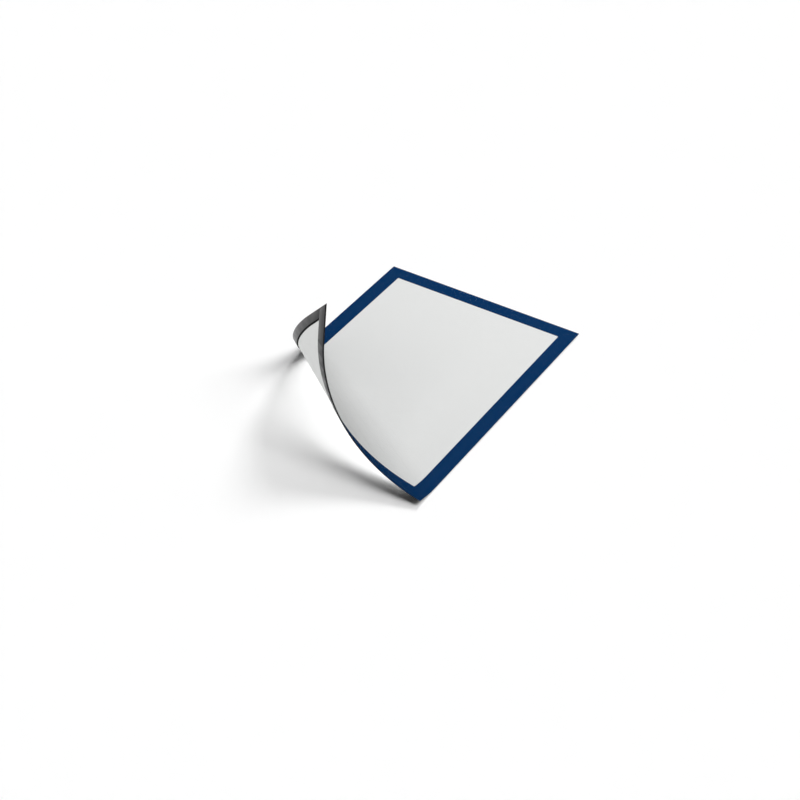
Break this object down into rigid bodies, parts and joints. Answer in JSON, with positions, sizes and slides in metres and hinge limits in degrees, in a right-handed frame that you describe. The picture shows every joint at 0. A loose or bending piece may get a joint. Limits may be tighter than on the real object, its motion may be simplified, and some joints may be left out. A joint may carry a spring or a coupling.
{
  "type": "magnetic photo frame",
  "caption": "Flexible magnetic frame for an A4 page: clear film, blue border and magnet strips, lying flat with one corner peeled up and curled over.",
  "frame": {"origin": "on the surface that the magnet strips lie on, under the middle of the page", "axes": "+X to the right of the page, +Y up the page, +Z out of the page's front"},
  "size_m": [0.2363, 0.3226, 0.1153],
  "materials": {
    "clear_film": "satin",
    "blue_border": "satin",
    "adhesive_tape": "matte",
    "white_page": "matte",
    "magnet_rubber": "satin"
  },
  "bodies": {
    "flat_frame": {"front_film": "clear_film", "colour_border": "blue_border", "adhesive_tapes": "adhesive_tape", "insert_sheet": "white_page", "magnet_strip_top": "magnet_rubber", "magnet_strip_left": "magnet_rubber", "magnet_strip_right": "magnet_rubber"},
    "flap_01": {"front_film_flap_01": "clear_film", "colour_border_flap_01": "blue_border", "adhesive_tapes_flap_01": "adhesive_tape", "insert_sheet_flap_01": "white_page", "magnet_strips_flap_01": "magnet_rubber"},
    "flap_02": {"front_film_flap_02": "clear_film", "colour_border_flap_02": "blue_border", "adhesive_tapes_flap_02": "adhesive_tape", "insert_sheet_flap_02": "white_page", "magnet_strips_flap_02": "magnet_rubber"},
    "flap_03": {"front_film_flap_03": "clear_film", "colour_border_flap_03": "blue_border", "adhesive_tapes_flap_03": "adhesive_tape", "insert_sheet_flap_03": "white_page", "magnet_strips_flap_03": "magnet_rubber"},
    "flap_04": {"front_film_flap_04": "clear_film", "colour_border_flap_04": "blue_border", "adhesive_tapes_flap_04": "adhesive_tape", "insert_sheet_flap_04": "white_page", "magnet_strips_flap_04": "magnet_rubber"},
    "flap_05": {"front_film_flap_05": "clear_film", "colour_border_flap_05": "blue_border", "adhesive_tapes_flap_05": "adhesive_tape", "insert_sheet_flap_05": "white_page", "magnet_strips_flap_05": "magnet_rubber"},
    "flap_06": {"front_film_flap_06": "clear_film", "colour_border_flap_06": "blue_border", "adhesive_tapes_flap_06": "adhesive_tape", "insert_sheet_flap_06": "white_page", "magnet_strips_flap_06": "magnet_rubber"},
    "flap_07": {"front_film_flap_07": "clear_film", "colour_border_flap_07": "blue_border", "adhesive_tapes_flap_07": "adhesive_tape", "insert_sheet_flap_07": "white_page", "magnet_strips_flap_07": "magnet_rubber"},
    "flap_08": {"front_film_flap_08": "clear_film", "colour_border_flap_08": "blue_border", "adhesive_tapes_flap_08": "adhesive_tape", "insert_sheet_flap_08": "white_page", "magnet_strips_flap_08": "magnet_rubber"},
    "flap_09": {"front_film_flap_09": "clear_film", "colour_border_flap_09": "blue_border", "adhesive_tapes_flap_09": "adhesive_tape", "insert_sheet_flap_09": "white_page", "magnet_strips_flap_09": "magnet_rubber"},
    "flap_10": {"front_film_flap_10": "clear_film", "colour_border_flap_10": "blue_border", "adhesive_tapes_flap_10": "adhesive_tape", "insert_sheet_flap_10": "white_page", "magnet_strips_flap_10": "magnet_rubber"}
  },
  "joints": [
    {"name": "corner_peel", "type": "hinge", "parent": "flat_frame", "child": "flap_01", "pos_m": [0.0179, -0.078, 0.0015], "axis": [-0.852, 0.5235, 0], "range_deg": [-11.9, 5]},
    {"name": "corner_bend_02", "type": "hinge", "parent": "flap_01", "child": "flap_02", "pos_m": [0.00328, -0.08189, 0.00381], "axis": [-0.8367, 0.5476, -0.006], "range_deg": [-11.9, 5]},
    {"name": "corner_bend_03", "type": "hinge", "parent": "flap_02", "child": "flap_03", "pos_m": [-0.01031, -0.0858, 0.00848], "axis": [-0.8218, 0.5695, -0.0177], "range_deg": [-11.9, 5]},
    {"name": "corner_bend_04", "type": "hinge", "parent": "flap_03", "child": "flap_04", "pos_m": [-0.02256, -0.08928, 0.0154], "axis": [-0.8082, 0.5879, -0.0341], "range_deg": [-11.9, 5]},
    {"name": "corner_bend_05", "type": "hinge", "parent": "flap_04", "child": "flap_05", "pos_m": [-0.03321, -0.09195, 0.02437], "axis": [-0.7965, 0.6022, -0.0542], "range_deg": [-11.9, 5]},
    {"name": "corner_bend_06", "type": "hinge", "parent": "flap_05", "child": "flap_06", "pos_m": [-0.04196, -0.09347, 0.03504], "axis": [-0.7875, 0.6116, -0.0761], "range_deg": [-11.9, 5]},
    {"name": "corner_bend_07", "type": "hinge", "parent": "flap_06", "child": "flap_07", "pos_m": [-0.04861, -0.0936, 0.04698], "axis": [-0.7815, 0.6162, -0.0975], "range_deg": [-11.9, 5]},
    {"name": "corner_bend_08", "type": "hinge", "parent": "flap_07", "child": "flap_08", "pos_m": [-0.05297, -0.09217, 0.05967], "axis": [-0.7787, 0.6167, -0.1152], "range_deg": [-11.9, 5]},
    {"name": "corner_bend_09", "type": "hinge", "parent": "flap_08", "child": "flap_09", "pos_m": [-0.05492, -0.08915, 0.07255], "axis": [-0.7784, 0.6154, -0.1243], "range_deg": [-11.9, 5]},
    {"name": "corner_bend_10", "type": "hinge", "parent": "flap_09", "child": "flap_10", "pos_m": [-0.05445, -0.08459, 0.08507], "axis": [-0.7775, 0.6183, -0.1151], "range_deg": [-11.9, 5]}
  ],
  "couplings": [
    {"joint": "corner_bend_02", "follows": "corner_peel", "ratio": 1},
    {"joint": "corner_bend_03", "follows": "corner_peel", "ratio": 1},
    {"joint": "corner_bend_04", "follows": "corner_peel", "ratio": 1},
    {"joint": "corner_bend_05", "follows": "corner_peel", "ratio": 1},
    {"joint": "corner_bend_06", "follows": "corner_peel", "ratio": 1},
    {"joint": "corner_bend_07", "follows": "corner_peel", "ratio": 1},
    {"joint": "corner_bend_08", "follows": "corner_peel", "ratio": 1},
    {"joint": "corner_bend_09", "follows": "corner_peel", "ratio": 1},
    {"joint": "corner_bend_10", "follows": "corner_peel", "ratio": 1}
  ]
}
